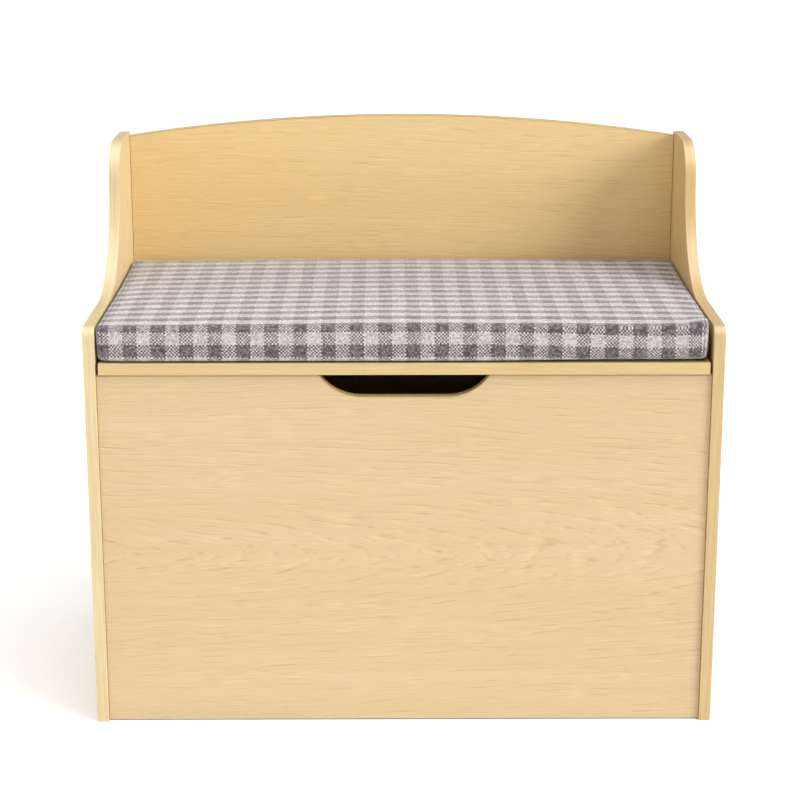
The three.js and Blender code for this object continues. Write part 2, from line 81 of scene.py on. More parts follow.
def make_world():
    """Soft light from all round, and a white band at the horizon that meets the floor's far edge."""
    world = bpy.data.worlds.new("studio")
    world.use_nodes = True
    tree = world.node_tree
    direction = tree.nodes.new("ShaderNodeTexCoord").outputs["Generated"]
    parts = tree.nodes.new("ShaderNodeSeparateXYZ")
    band = tree.nodes.new("ShaderNodeMapRange")
    band.interpolation_type = "SMOOTHSTEP"
    levels = {
        "From Min": HORIZON_SOLID * HORIZON_HEIGHT,
        "From Max": HORIZON_HEIGHT,
        "To Min": HORIZON_STRENGTH,
        "To Max": WORLD_STRENGTH,
    }
    for name, value in levels.items():
        band.inputs[name].default_value = value
    background = tree.nodes["Background"]
    background.inputs["Color"].default_value = (1, 1, 1, 1)
    tree.links.new(direction, parts.inputs[0])
    tree.links.new(parts.outputs["Z"], band.inputs["Value"])
    tree.links.new(band.outputs[0], background.inputs["Strength"])
    bpy.context.scene.world = world
    bpy.context.scene.view_settings.view_transform = "Standard"


def make_lamps():
    for name, lamp in LAMPS.items():
        data = bpy.data.lights.new(name, "SUN")
        data.angle = math.radians(lamp["width"])
        data.energy = lamp["strength"]
        made = bpy.data.objects.new(name, data)
        made.rotation_euler = (math.radians(90 - lamp["elevation"]), 0, math.radians(lamp["azimuth"]))
        bpy.context.scene.collection.objects.link(made)


def make_floor():
    side = FLOOR_SIDE / 2
    corners = [(-side, -side, 0), (side, -side, 0), (side, side, 0), (-side, side, 0)]
    mesh = bpy.data.meshes.new("floor")
    mesh.from_pydata(corners, [], [(0, 1, 2, 3)])
    floor = bpy.data.objects.new("floor", mesh)
    bpy.context.scene.collection.objects.link(floor)
    paper = Shader("floor_paper")
    paper.set("Base Color", (FLOOR_WHITE, FLOOR_WHITE, FLOOR_WHITE, 1))
    paper.set("Roughness", 0.9)
    mesh.materials.append(paper.material)


# ---- Shader building ----

class Shader:
    """A material whose nodes are added by short calls, so that it reads as a formula."""

    def __init__(self, name):
        self.material = bpy.data.materials.new(name)
        self.material.use_nodes = True
        self.tree = self.material.node_tree
        self.surface = self.tree.nodes["Principled BSDF"]

    def feed(self, socket, value):
        if isinstance(value, bpy.types.NodeSocket):
            self.tree.links.new(value, socket)
        else:
            socket.default_value = value

    def add(self, kind, inputs, **settings):
        node = self.tree.nodes.new("ShaderNode" + kind)
        for name, value in settings.items():
            setattr(node, name, value)
        for place, value in inputs.items():
            self.feed(node.inputs[place], value)
        return node

    def set(self, name, value):
        self.feed(self.surface.inputs[name], value)

    def calculate(self, operation, *values):
        return self.add("Math", dict(enumerate(values)), operation=operation).outputs[0]

    def plus(self, first, *others):
        total = first
        for value in others:
            total = self.calculate("ADD", total, value)
        return total

    def times(self, a, b):
        return self.calculate("MULTIPLY", a, b)

    def combine(self, x, y, z):
        return self.add("CombineXYZ", {0: x, 1: y, 2: z}).outputs[0]

    def point(self):
        """The point in the object's own frame, in metres, as one vector."""
        return self.add("TexCoord", {}).outputs["Object"]

    def place(self):
        """The same point as X, Y and Z."""
        return self.add("SeparateXYZ", {0: self.point()}).outputs

    def noise(self, vector, detail=2.0, roughness=0.5, scale=1):
        inputs = {"Vector": vector, "Scale": scale, "Detail": detail, "Roughness": roughness}
        return self.add("TexNoise", inputs).outputs["Fac"]

    def streaks(self, x, y, rates, seed, detail=2, roughness=0.5):
        """Noise over x and y that changes at a rate of its own along each."""
        vector = self.combine(self.times(x, rates[0]), self.times(y, rates[1]), seed)
        return self.noise(vector, detail, roughness)

    def stretched(self, place, rates):
        """The place with each of its three coordinates multiplied by a rate of its own."""
        return self.combine(*[self.times(place[i], rates[i]) for i in range(3)])

    def step(self, value, low, high, start=0.0, end=1.0):
        """Goes smoothly from start to end while value goes from low to high."""
        inputs = {0: value, 1: low, 2: high, 3: start, 4: end}
        return self.add("MapRange", inputs, interpolation_type="SMOOTHSTEP").outputs[0]

    def mix(self, factor, first, second):
        inputs = {0: factor, 6: first, 7: second}
        return self.add("Mix", inputs, data_type="RGBA").outputs[2]

    def blend(self, factor, first, second):
        """The same as mix, for numbers."""
        inputs = {0: factor, 2: first, 3: second}
        return self.add("Mix", inputs, data_type="FLOAT").outputs[0]

    def multiply(self, colour, by):
        inputs = {0: 1.0, 6: colour, 7: by}
        return self.add("Mix", inputs, data_type="RGBA", blend_type="MULTIPLY").outputs[2]

    def shade(self, colour, factor):
        """The colour made brighter or darker by a factor round 1."""
        return self.multiply(colour, self.combine(factor, factor, factor))

    def tint(self, colour, tint):
        return self.multiply(colour, (*tint, 1))

    def bump(self, height, distance, strength):
        inputs = {"Height": height, "Distance": distance, "Strength": strength}
        self.set("Normal", self.add("Bump", inputs).outputs[0])


# ---- Boards ----

# Colours are linear RGB. The last three here are tints of a whole board: painted light and shade, which make
# lit and shaded copies of the one maple foil, each board as bright as its place in the light
MAPLE_PALE = (0.712, 0.534, 0.300, 1)
MAPLE_WARM = (0.682, 0.500, 0.264, 1)
MAPLE_DARK = (0.500, 0.300, 0.125, 1)
CHIP_PALE = (0.470, 0.310, 0.160, 1)
CHIP_DARK = (0.250, 0.150, 0.070, 1)
PAINTED_LIGHT_DIM = (0.790, 0.782, 0.800)
PAINTED_LIGHT_GOLDEN = (1.005, 0.96, 0.80)
PAINTED_LIGHT_BRIGHT = (1.05, 1.11, 1.10)

BOARD = 12 * MM
FOIL_THICKNESS = 0.35 * MM
FOIL_CORE_BLEND = 0.8  # of the foil's thickness, where the core's look ends
CHIP_RATES = (420, 800, 900)  # per metre along the board, across it and through it

# Rates are per metre, along the grain and across it
BEND_RATES = (2.3, 7)  # the grain's slow bends, then its smaller wobbles, and how far each carries it
BEND = 35 * MM
WOBBLE_RATES = (19, 45)
WOBBLE = 3.5 * MM
TONE_RATES = (1.6, 9)
BAND_RATES = (1.5, 90)
TONE_SHARE = 0.55  # of the foil's shade; the bands have the rest
TONE_RANGE = (0.36, 0.64)
HEART_LEVEL = 0.21  # where the log's heart lies under a board, and how it slopes away
HEART_DEPTH = 0.055
HEART_TILT = 0.10
RING_WARP_RATES = (5, 42)
RING_WARP = 11
RING_BREAK_RATES = (21, 230)
RING_BREAKS = (0.47, 0.60)  # a pair such as this is the range in which a noise or wave fades in
RING_DARK = (0.80, 1.0)
RING_LIGHT = (0.72, 1.0)
LIGHT_LEAD = 1.3  # from each dark line to the painted highlight on its ridge, as an angle of the rings' wave
# In each ring set, dark is how dark the grain line is, and light is the painted highlight on the ridge beside
# it
LATE_WOOD = {"pitch": 6.2 * MM, "dark": 0.34, "light": 0.07, "seed": 31}
FINE_LINES = {"pitch": 3.1 * MM, "dark": 0.24, "light": 0.05, "seed": 53}
PORE_RATES = (75, 1500)
PORES = (0.55, 0.75)
PORE_DARK = 0.13
FIBRE_RATES = (36, 760)
FIBRES = (0.36, 0.64)
FIBRE_CLUSTER_RATES = (9, 70)
FIBRE_CLUSTERS = (0.40, 0.62)
FIBRE_DEPTH = 0.055


def maple(name, along, across, middle, seed, tint):
    """Maple foil on a board: along and across are the axes of its face, middle its mid-plane's place."""
    t = Shader(name)
    place = t.place()
    x = place["XYZ".index(along)]
    y = place["XYZ".index(across)]
    through = place[3 - "XYZ".index(along) - "XYZ".index(across)]
    bend = t.times(t.streaks(x, y, BEND_RATES, seed), BEND)
    wobble = t.times(t.streaks(x, y, WOBBLE_RATES, seed + 3), WOBBLE)
    level = t.plus(y, bend, wobble)

    tone = t.streaks(x, level, TONE_RATES, seed + 7, 3)
    bands = t.streaks(x, level, BAND_RATES, seed + 11, 3)
    warmth = t.plus(t.times(tone, TONE_SHARE), t.times(bands, 1 - TONE_SHARE))
    foil = t.mix(t.step(warmth, *TONE_RANGE), MAPLE_PALE, MAPLE_WARM)
    mark, ridge_highlight = growth_rings(t, x, level, seed)
    foil = t.mix(mark, foil, MAPLE_DARK)
    # The foil lightened by the ridge highlights and shaded by the fibres: painted light and shade of the
    # embossed grain
    foil = t.shade(foil, t.plus(1, ridge_highlight, fibres(t, x, level, seed + 61)))

    chips = t.add("TexVoronoi", {"Vector": t.stretched((x, y, through), CHIP_RATES), "Scale": 1})
    core = t.mix(chips.outputs["Color"], CHIP_DARK, CHIP_PALE)
    depth = t.calculate("ABSOLUTE", t.plus(through, -middle))
    inner, outer = BOARD / 2 - FOIL_THICKNESS, BOARD / 2 - FOIL_CORE_BLEND * FOIL_THICKNESS
    inside = t.step(depth, inner, outer, 1, 0)
    # The tint paints the board lighter or darker by its place in the light: painted light and shade
    t.set("Base Color", t.mix(inside, t.tint(foil, tint), core))
    foil_roughness = t.plus(t.times(tone, 0.10), 0.36, t.times(mark, 0.4))
    t.set("Roughness", t.plus(foil_roughness, t.times(inside, 0.35)))
    pits = t.times(t.times(inside, chips.outputs["Distance"]), 2)
    t.bump(t.plus(t.times(mark, -1), pits), 0.35 * MM, 0.5)
    return t.material


def growth_rings(t, x, level, seed):
    """How dark the rings and pores are at a place, and how bright the painted highlight on the embossed ridge
    beside each ring is.
    """
    heart = t.combine(0.0, t.plus(level, -HEART_LEVEL), t.plus(t.times(x, HEART_TILT), HEART_DEPTH))
    reach = t.add("VectorMath", {0: heart}, operation="LENGTH").outputs["Value"]
    pores = t.step(t.streaks(x, level, PORE_RATES, seed + 17, 2, 0.55), *PORES)
    mark = t.times(pores, PORE_DARK)
    ridge_highlight = 0.0
    for rings in (LATE_WOOD, FINE_LINES):
        dark, light = ring_lines(t, x, level, reach, rings["pitch"], seed + rings["seed"])
        mark = t.calculate("MAXIMUM", mark, t.times(dark, rings["dark"]))
        ridge_highlight = t.plus(ridge_highlight, t.times(light, rings["light"]))
    return mark, ridge_highlight


def ring_lines(t, x, level, reach, pitch, seed):
    """Thin broken lines round the heart of the log, a pitch apart, and the painted highlight on the embossed
    ridge beside each.
    """
    warp = t.streaks(x, level, RING_WARP_RATES, seed, 3)
    phase = t.plus(t.times(reach, 2 * math.pi / pitch), t.times(warp, RING_WARP))
    breaks = t.step(t.streaks(x, level, RING_BREAK_RATES, seed + 2), *RING_BREAKS)
    dark = t.step(t.calculate("SINE", phase), *RING_DARK)
    # The light side of each line is a painted highlight on its ridge
    light = t.step(t.calculate("SINE", t.plus(phase, LIGHT_LEAD)), *RING_LIGHT)
    return t.times(dark, breaks), t.times(light, breaks)


def fibres(t, x, level, seed):
    """Short pressed fibre lines in clusters, each a dark line beside a light one, as a shade round 0: painted
    light and shade of their pressed relief.
    """
    ripple = t.step(t.streaks(x, level, FIBRE_RATES, seed, 1), *FIBRES, -1, 1)
    cluster = t.step(t.streaks(x, level, FIBRE_CLUSTER_RATES, seed + 5), *FIBRE_CLUSTERS)
    return t.times(t.times(ripple, cluster), FIBRE_DEPTH)


# ---- Edging and hardware ----

EDGING_PALE = (0.670, 0.495, 0.235, 1)
EDGING_WARM = (0.590, 0.400, 0.165, 1)
EDGING_PLAIN = (0.86, 0.86, 0.81)
# The left edging's tint is a painted sheen, paler and cooler as if it caught a reflection; the right edging's
# tint is painted shade
EDGING_LEFT_PAINTED_SHEEN = (0.93, 1.015, 1.22)
EDGING_RIGHT_PAINTED_SHADE = (0.81, 0.80, 0.81)
PRINT_RATES = {"along": 11, "across": 620}
PRINT = (0.32, 0.70)
BLOTCH_RATE = 14
RIM = (5.0 * MM, 5.9 * MM)  # where the lighter, rougher rim along the edging's edges starts and ends, from the edging's middle
CAP_COLOUR = (0.740, 0.560, 0.330)
NYLON_COLOUR = (0.80, 0.79, 0.76)
RUBBER_COLOUR = (0.62, 0.60, 0.55)
FOAM_COLOUR = (0.85, 0.80, 0.62)
ZIP_TAPE_COLOUR = (0.26, 0.235, 0.25)
HOOK_AND_LOOP_COLOUR = (0.70, 0.68, 0.64)
ZINC_DARK = (0.46, 0.47, 0.48, 1)
ZINC_LIGHT = (0.68, 0.68, 0.66, 1)
ZINC_SPANGLE = (0.60, 0.61, 0.55, 1)
ROLLING_RATES = (30, 700, 700)
SPANGLE_RATE = 260
SCUFF_RATE = 340
SCUFFS = (0.55, 0.70)
MOTTLE_RATE = 90
MOTTLE = (0.90, 1.06)  # a moulded piece's darkest and lightest shade
PEEL_RATE = 900
FUZZ_RATES = (900, 900, 900)
COIL_PITCH = 1.3 * MM
COIL_HALF_WIDTH = (1.3 * MM, 1.7 * MM)  # where its soft edge starts and ends


def edging(name, across, middle, tint):
    """Plastic edging with a printed grain that runs along it; across is its width's axis."""
    t = Shader(name)
    place = t.place()
    rates = [PRINT_RATES["across" if axis == across else "along"] for axis in "XYZ"]
    streaks = t.noise(t.stretched(place, rates), 3, 0.6)
    blotches = t.noise(t.stretched(place, [BLOTCH_RATE] * 3))
    colour = t.mix(t.step(streaks, *PRINT), EDGING_PALE, EDGING_WARM)
    rim = t.step(t.calculate("ABSOLUTE", t.plus(place["XYZ".index(across)], -middle)), *RIM)
    colour = t.shade(colour, t.plus(0.95, t.times(blotches, 0.08), t.times(rim, 0.05)))
    # On the two side edgings this tint is painted: a sheen on the left one and shade on the right one
    t.set("Base Color", t.tint(colour, tint))
    t.set("Roughness", t.plus(0.30, t.times(streaks, 0.14), t.times(rim, 0.15)))
    t.set("Coat Weight", 0.3)
    t.set("Coat Roughness", 0.3)
    t.bump(streaks, 0.15 * MM, 0.35)
    return t.material


def moulded(name, colour, roughness):
    """Moulded plastic or rubber: a faint orange peel and slow changes of shade."""
    t = Shader(name)
    point = t.point()
    mottle = t.noise(point, scale=MOTTLE_RATE)
    peel = t.noise(point, scale=PEEL_RATE)
    darker = [part * MOTTLE[0] for part in colour]
    lighter = [min(1, part * MOTTLE[1]) for part in colour]
    t.set("Base Color", t.mix(mottle, (*darker, 1), (*lighter, 1)))
    t.set("Roughness", t.plus(roughness, t.times(peel, 0.15)))
    t.bump(peel, 0.1 * MM, 0.25)
    return t.material


def zinc_steel():
    """Zinc-plated pressed steel: fine rolling marks, a spangle and small scuffs."""
    t = Shader("zinc_steel")
    point = t.point()
    rolled = t.noise(t.stretched(t.place(), ROLLING_RATES), 4, 0.65)
    spangle = t.add("TexVoronoi", {"Vector": point, "Scale": SPANGLE_RATE}).outputs["Color"]
    scuff = t.step(t.noise(point, 4, scale=SCUFF_RATE), *SCUFFS)
    colour = t.mix(t.times(rolled, 0.8), ZINC_DARK, ZINC_LIGHT)
    t.set("Base Color", t.mix(t.times(spangle, 0.35), colour, ZINC_SPANGLE))
    t.set("Metallic", 1.0)
    t.set("Roughness", t.plus(0.24, t.times(rolled, 0.16), t.times(scuff, 0.2)))
    t.bump(rolled, 0.05 * MM, 0.4)
    return t.material


def woven_tape(name, colour, pitch, ridge=None):
    """Narrow woven tape, with a zip's coil along its middle where ridge gives that level."""
    t = Shader(name)
    place = t.place()
    warp = t.calculate("SINE", t.times(place[0], 2 * math.pi / pitch))
    weft = t.calculate("SINE", t.times(t.plus(place[1], place[2]), 2 * math.pi / pitch))
    weave = t.times(warp, weft)
    fuzz = t.noise(t.stretched(place, FUZZ_RATES), 3)
    # The weave paints light on the raised threads and shade between them
    shade = t.plus(0.8, t.times(weave, 0.12), t.times(fuzz, 0.3))
    height = t.plus(t.times(weave, 0.5), fuzz)
    if ridge is not None:
        coil = t.step(t.calculate("PINGPONG", place[0], COIL_PITCH / 2), 0, COIL_PITCH / 2)
        on_ridge = t.step(t.calculate("ABSOLUTE", t.plus(place[2], -ridge)), *COIL_HALF_WIDTH, 1, 0)
        # The coil's teeth drawn lighter and darker along the zip: painted light and shade on their relief
        shade = t.plus(shade, t.times(on_ridge, t.times(t.plus(coil, -0.6), 0.6)))
        height = t.plus(height, t.times(on_ridge, t.times(coil, 3)))
    t.set("Base Color", t.shade((*colour, 1), shade))
    t.set("Roughness", t.plus(0.7, t.times(fuzz, 0.25)))
    t.bump(height, 0.25 * MM, 0.6)
    return t.material


# ---- CAD pieces: rounded edges and materials ----

BOARD_ROUNDING = 0.45 * MM
EDGING_ROUNDING = 0.4 * MM
HARDWARE_ROUNDING = 0.12 * MM
WELD_DISTANCE = 0.01 * MM
FLAT_ANGLE = math.radians(0.3)  # faces that meet at less than this are one flat face
SHARP_ANGLE = math.radians(28)  # edges sharper than this are rounded


def middle_of(node, axis):
    low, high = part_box(node)
    return (low["XYZ".index(axis)] + high["XYZ".index(axis)]) / 2


def soften(node, rounding, segments):
    """Joins the facets of a CAD piece, smooths its curves and rounds its sharp edges."""
    piece = NODES[node]
    mesh = piece.data
    for name in ("custom_normal", "sharp_edge", "sharp_face"):
        if name in mesh.attributes:
            mesh.attributes.remove(mesh.attributes[name])
    mesh.shade_smooth()
    weld = piece.modifiers.new("weld", "WELD")
    weld.merge_threshold = WELD_DISTANCE
    flat = piece.modifiers.new("flat_faces", "DECIMATE")
    flat.decimate_type = "DISSOLVE"
    flat.angle_limit = FLAT_ANGLE
    bevel = piece.modifiers.new("rounding", "BEVEL")
    bevel.width = rounding
    bevel.segments = segments
    bevel.limit_method = "ANGLE"
    bevel.angle_limit = SHARP_ANGLE
    bevel.harden_normals = True
    bevel.miter_outer = "MITER_ARC"


def dress(node, material, rounding, segments=2):
    NODES[node].data.materials.clear()
    NODES[node].data.materials.append(material)
    soften(node, rounding, segments)


def dress_boards():
    # Each board: the axes along and across its face, the axis through it, and its tint of painted light and
    # shade
    faces = {
        "left_side_panel": ("Z", "Y", "X", PAINTED_LIGHT_BRIGHT),
        "right_side_panel": ("Z", "Y", "X", PAINTED_LIGHT_GOLDEN),
        "front_panel": ("X", "Z", "Y", PAINTED_LIGHT_DIM),
        "back_panel": ("X", "Z", "Y", PAINTED_LIGHT_GOLDEN),
        "lid_panel": ("X", "Y", "Z", PAINTED_LIGHT_DIM),
        "bottom_panel": ("X", "Y", "Z", PAINTED_LIGHT_DIM),
    }
    for seed, (node, (along, across, through, tint)) in enumerate(faces.items()):
        material = maple(node + "_maple", along, across, middle_of(node, through), 5.0 * seed + 1.0, tint)
        dress(node, material, BOARD_ROUNDING)


def dress_edgings():
    widths = {
        "left_side_edging": ("X", EDGING_LEFT_PAINTED_SHEEN),
        "right_side_edging": ("X", EDGING_RIGHT_PAINTED_SHADE),
        "back_edging": ("Y", EDGING_PLAIN),
        "front_edging": ("Y", EDGING_PLAIN),
        "lid_edging": ("Z", EDGING_PLAIN),
    }
    for node, (across, tint) in widths.items():
        material = edging(node + "_print", across, middle_of(node, across), tint)
        dress(node, material, EDGING_ROUNDING)


def dress_hardware():
    zip_level = middle_of("pad_zip", "Z")
    materials = {
        "cover_cap": moulded("cap_plastic", CAP_COLOUR, 0.38),
        "steel": zinc_steel(),
        "nylon": moulded("nylon", NYLON_COLOUR, 0.42),
        "bumper_rubber": moulded("bumper_rubber", RUBBER_COLOUR, 0.55),
        "foam": moulded("foam", FOAM_COLOUR, 0.9),
        "zip_tape": woven_tape("zip_tape", ZIP_TAPE_COLOUR, 0.9 * MM, zip_level),
        "hook_and_loop": woven_tape("hook_and_loop", HOOK_AND_LOOP_COLOUR, 1.4 * MM),
    }
    for node, piece in NODES.items():
        slot = piece.data.materials[0].name
        if slot in materials:
            dress(node, materials[slot], HARDWARE_ROUNDING, 1)


# ---- Seat pad: its form ----

PAD_LOW, PAD_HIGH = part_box("pad_cover")
PAD_EDGE = 8 * MM  # radius of the long top edges
PAD_ROUNDING = Vector((4 * MM, PAD_EDGE, PAD_EDGE))
PAD_BOTTOM_ROUNDING = 3.5 * MM
PAD_END_ROUNDING = 4 * MM  # added to the lower edges' radius at the pad's two ends
PAD_END = 30 * MM  # the length of each end over which that grows
PAD_CELL = 6.5 * MM
ROUNDING_STEPS = 4
LEFT_FULLER = 1.6 * MM  # how far its left end stands past the plain solid
RIGHT_FULLER = 1.5 * MM  # and its right end, behind the tucked corner
PAD_SAG = 0.4 * MM  # how far its underside lies below the plain solid's
FRONT_STRETCH = 0.937  # cloth laid on each length of the pad's front
FRONT_SKEW = 3.9 * MM  # how far its rows have slipped down towards the right end
SKEW_FROM, SKEW_TO = 80 * MM, 260 * MM  # along the pad, where that starts and is complete
REAR_GATHER = 9 * MM  # cloth gathered over the rear half of the top


def smooth(value, low, high):
    """Goes smoothly from 0 to 1 while value goes from low to high."""
    share = min(max((value - low) / (high - low), 0), 1)
    return share * share * (3 - 2 * share)


def graded(low, high, low_round, high_round):
    """Levels from low to high, close together in the rounded ends and PAD_CELL apart between them."""
    flat = high - high_round - low - low_round
    count = max(2, round(flat / PAD_CELL))
    start = [low + low_round * i / ROUNDING_STEPS for i in range(ROUNDING_STEPS)]
    inner = [low + low_round + flat * i / count for i in range(count)]
    end = [high - high_round * (ROUNDING_STEPS - i) / ROUNDING_STEPS for i in range(ROUNDING_STEPS + 1)]
    return start + inner + end


def rounded(point, low, high):
    """A point of the box's skin moved onto the same box with rounded edges."""
    radius = Vector(PAD_ROUNDING)
    middle = (low.z + high.z) / 2
    to_end = min(point.x - low.x, high.x - point.x)
    fuller = PAD_END_ROUNDING * smooth(-to_end, -PAD_END, 0)
    radius.x += fuller * smooth(middle - point.z, 0, middle - low.z)
    if point.z < middle:
        radius.z = PAD_BOTTOM_ROUNDING + fuller
    inner = Vector([min(max(point[i], low[i] + radius[i]), high[i] - radius[i]) for i in range(3)])
    away = Vector([(point[i] - inner[i]) / radius[i] for i in range(3)])
    away.normalize()
    return inner + Vector([away[i] * radius[i] for i in range(3)])


def wrapped(depth):
    """Cloth that goes round a long edge to a depth past the start of its rounding, up to halfway round."""
    return PAD_EDGE * math.atan(min(max(depth / PAD_EDGE, 0), 1))


def cloth_place(place, side, low, high):
    """Where a place on the box's skin lies on the flat cloth: one length wraps front, top and back."""
    x, y, z = place
    edge_start = high.z - PAD_EDGE
    turned = wrapped(z - edge_start) - PAD_EDGE * math.pi / 2
    down = FRONT_STRETCH * min(0, z - edge_start)
    skew = FRONT_SKEW * smooth(x, SKEW_FROM, SKEW_TO) * smooth(-z, -high.z, -edge_start)
    if side == 0:
        return (y, z - high.z)
    if side == 1 and y < 0:
        return (x, low.y + PAD_EDGE + turned + down + skew)
    if side == 1:
        return (x, high.y - PAD_EDGE - turned - down + REAR_GATHER)
    if z > (low.z + high.z) / 2:
        flat = min(max(y, low.y + PAD_EDGE), high.y - PAD_EDGE)
        return (x, flat - wrapped(flat - y) + wrapped(y - flat) + REAR_GATHER * smooth(flat, 0, high.y))
    return (x, 2 * low.y - y - (high.z - low.z))


def skin_faces(last):
    """The axis and the four grid corners of every face on a box's skin, facing out."""
    for side in range(3):
        a, b = [axis for axis in range(3) if axis != side]
        for end, i, j in itertools.product((0, last[side]), range(last[a]), range(last[b])):
            corners = []
            for di, dj in ((0, 0), (1, 0), (1, 1), (0, 1)):
                key = [0, 0, 0]
                key[side], key[a], key[b] = end, i + di, j + dj
                corners.append(tuple(key))
            if (side == 1) != (end == 0):
                corners.reverse()
            yield side, corners


def pad_mesh():
    """The pad's cover as a closed grid, with its cloth laid out in metres in the UV map."""
    low = PAD_LOW - Vector((LEFT_FULLER, 0, PAD_SAG))
    high = Vector(PAD_HIGH)
    levels = (
        graded(low.x, high.x, PAD_ROUNDING.x, PAD_ROUNDING.x),
        graded(low.y, high.y, PAD_ROUNDING.y, PAD_ROUNDING.y),
        graded(low.z, high.z, PAD_BOTTOM_ROUNDING, PAD_ROUNDING.z),
    )
    numbers, points, faces, cloth = {}, [], [], []
    for side, corners in skin_faces([len(level) - 1 for level in levels]):
        for key in corners:
            place = [levels[axis][key[axis]] for axis in range(3)]
            if key not in numbers:
                numbers[key] = len(points)
                points.append(rounded(Vector(place), low, high))
            cloth.append(cloth_place(place, side, low, high))
        faces.append([numbers[key] for key in corners])
    mesh = bpy.data.meshes.new("seat_pad")
    mesh.from_pydata(points, [], faces)
    layer = mesh.uv_layers.new(name="cloth")
    for loop, place in zip(layer.data, cloth):
        loop.uv = place
    mesh.shade_smooth()
    return mesh


# ---- Seat pad: how it swells and settles ----

SWELL_FRAMES = 20
SWELL_PRESSURE = 0.5
SWELL_SHARE = 0.15  # of the free swelling, which the foam inside allows
SWELL_LIMIT = 3 * MM
UNDERSIDE = 1 * MM  # points below this height are pinned, because they lie on the lid
BODY_HEIGHT = 12 * MM  # above the underside, where the lift, drops and waves reach their full size
REAR_LIFT = 2.6 * MM
LEFT_DROP = 2.6 * MM  # the top is lower towards the two ends
RIGHT_DROP = 1.6 * MM
DROP_DEPTH = 9 * MM  # how far down its sides that reaches
WAVE = 0.5 * MM
WAVE_RATES = (11, 17)
FRONT_CURL = 2.2 * MM  # the lower front edge, towards the right end
CURL_FROM, CURL_TO = 60 * MM, 240 * MM
CURL_DEPTH, CURL_HEIGHT = 14 * MM, 12 * MM  # how far it reaches back and up
CORNER_END = 32 * MM  # how far from the right end that corner's shape starts
CORNER_LIFT = 4.2 * MM  # at the front right corner, where the cover is pulled askew
LIFT_DEPTH = 55 * MM
LIFT_TOP, LIFT_BOTTOM = 2 * MM, 12 * MM  # below the top, where the lift starts to fade and where it ends
CORNER_TUCK = 2.6 * MM
TUCK_DEPTH = 22 * MM
FULLER_FROM, FULLER_TO = 20 * MM, 70 * MM  # behind the front, where the right end grows to its full length


def swell(piece):
    """Inflates the cover with cloth simulation, then holds each point close to the foam that fills it."""
    sewn = [vertex.co.copy() for vertex in piece.data.vertices]
    underside = [i for i, point in enumerate(sewn) if point.z < PAD_LOW.z + UNDERSIDE]
    group = piece.vertex_groups.new(name="underside")
    group.add(underside, 1.0, "REPLACE")
    cloth = piece.modifiers.new("swell", "CLOTH")
    cloth.settings.quality = 6
    cloth.settings.mass = 0.25
    cloth.settings.vertex_group_mass = "underside"
    cloth.settings.tension_stiffness = 12
    cloth.settings.bending_stiffness = 0.6
    cloth.settings.use_pressure = True
    cloth.settings.uniform_pressure_force = SWELL_PRESSURE
    cloth.settings.effector_weights.gravity = 0
    cloth.point_cache.frame_start = 1
    cloth.point_cache.frame_end = SWELL_FRAMES
    for step in range(1, SWELL_FRAMES + 1):
        bpy.context.scene.frame_set(step)
    shaped = piece.evaluated_get(bpy.context.evaluated_depsgraph_get())
    swollen = [vertex.co.copy() for vertex in shaped.data.vertices]
    piece.modifiers.remove(cloth)
    piece.vertex_groups.remove(group)
    bpy.context.scene.frame_set(1)
    for vertex, start, end in zip(piece.data.vertices, sewn, swollen):
        moved = (end - start) * SWELL_SHARE
        moved.length = min(moved.length, SWELL_LIMIT)
        vertex.co = start + moved


def near(distance, reach, full=0):
    """1 up to the full distance from an edge, falling smoothly to 0 at its reach."""
    return smooth(-distance, -reach, -full)


def sunk(x):
    """How far the top is lower than its middle, by its place along the pad."""
    left = LEFT_DROP * min(max(x / PAD_LOW.x, 0), 1)
    right = RIGHT_DROP * min(max(x / PAD_HIGH.x, 0), 1)
    return left + right


def settle(piece):
    """The unevenness of a used pad: a fuller back, lower ends, a pulled-up front corner and a wavy skin."""
    for vertex in piece.data.vertices:
        x, y, z = vertex.co
        from_front = y - PAD_LOW.y
        from_bottom = z - PAD_LOW.z
        from_top = PAD_HIGH.z - z
        right_end = near(PAD_HIGH.x - x, CORNER_END)
        wave = noise.noise(Vector((x * WAVE_RATES[0], y * WAVE_RATES[1], 0)))
        raised = REAR_LIFT * smooth(y, 0, PAD_HIGH.y) + WAVE * wave
        raised -= sunk(x) * near(from_top, DROP_DEPTH)
        raised *= smooth(from_bottom, 0, BODY_HEIGHT)
        pulled = right_end * near(from_front, LIFT_DEPTH) * near(from_top, LIFT_BOTTOM, LIFT_TOP)
        curled = smooth(x, CURL_FROM, CURL_TO) * near(from_front, CURL_DEPTH) * near(from_bottom, CURL_HEIGHT)
        vertex.co.z += raised + CORNER_LIFT * pulled + FRONT_CURL * curled
        vertex.co.x -= CORNER_TUCK * right_end * near(from_front, TUCK_DEPTH)
        vertex.co.x += RIGHT_FULLER * right_end * smooth(from_front, FULLER_FROM, FULLER_TO)


# ---- Seat pad: its cloth ----

YARN_DARK = (0.093, 0.077, 0.086, 1)
YARN_LIGHT = (0.612, 0.556, 0.545, 1)
MELANGE = 0.22  # the most light fibre that is spun into the dark yarn
COLUMN_PAIR = 29.1 * MM  # a dark and a light column of checks, and a dark and a light row
ROW_PAIR = 24.94 * MM
FIRST_COLUMN = -289 * MM  # where a dark column and a dark row start
FIRST_ROW = 141.45 * MM
WARP_PER_COLUMN = 8
WEFT_PER_ROW = 7
WEFT_PROUD = (0.08, 0.45)  # how much of the warp the weft hides, on the front and on the worn top
PROUD_FROM, PROUD_TO = -2 * MM, 10 * MM  # along the cloth from the pad's front, where that changes
PAINTED_SHADE_FRONT = 0.895  # painted shade of the cloth: on the front, and on the top from its front edge to its darker rear by the backrest
PAINTED_SHADE_TOP = (0.965, 0.66)
SEAM_INSET = 4.5 * MM  # between the pad's end and the seam round its end panel
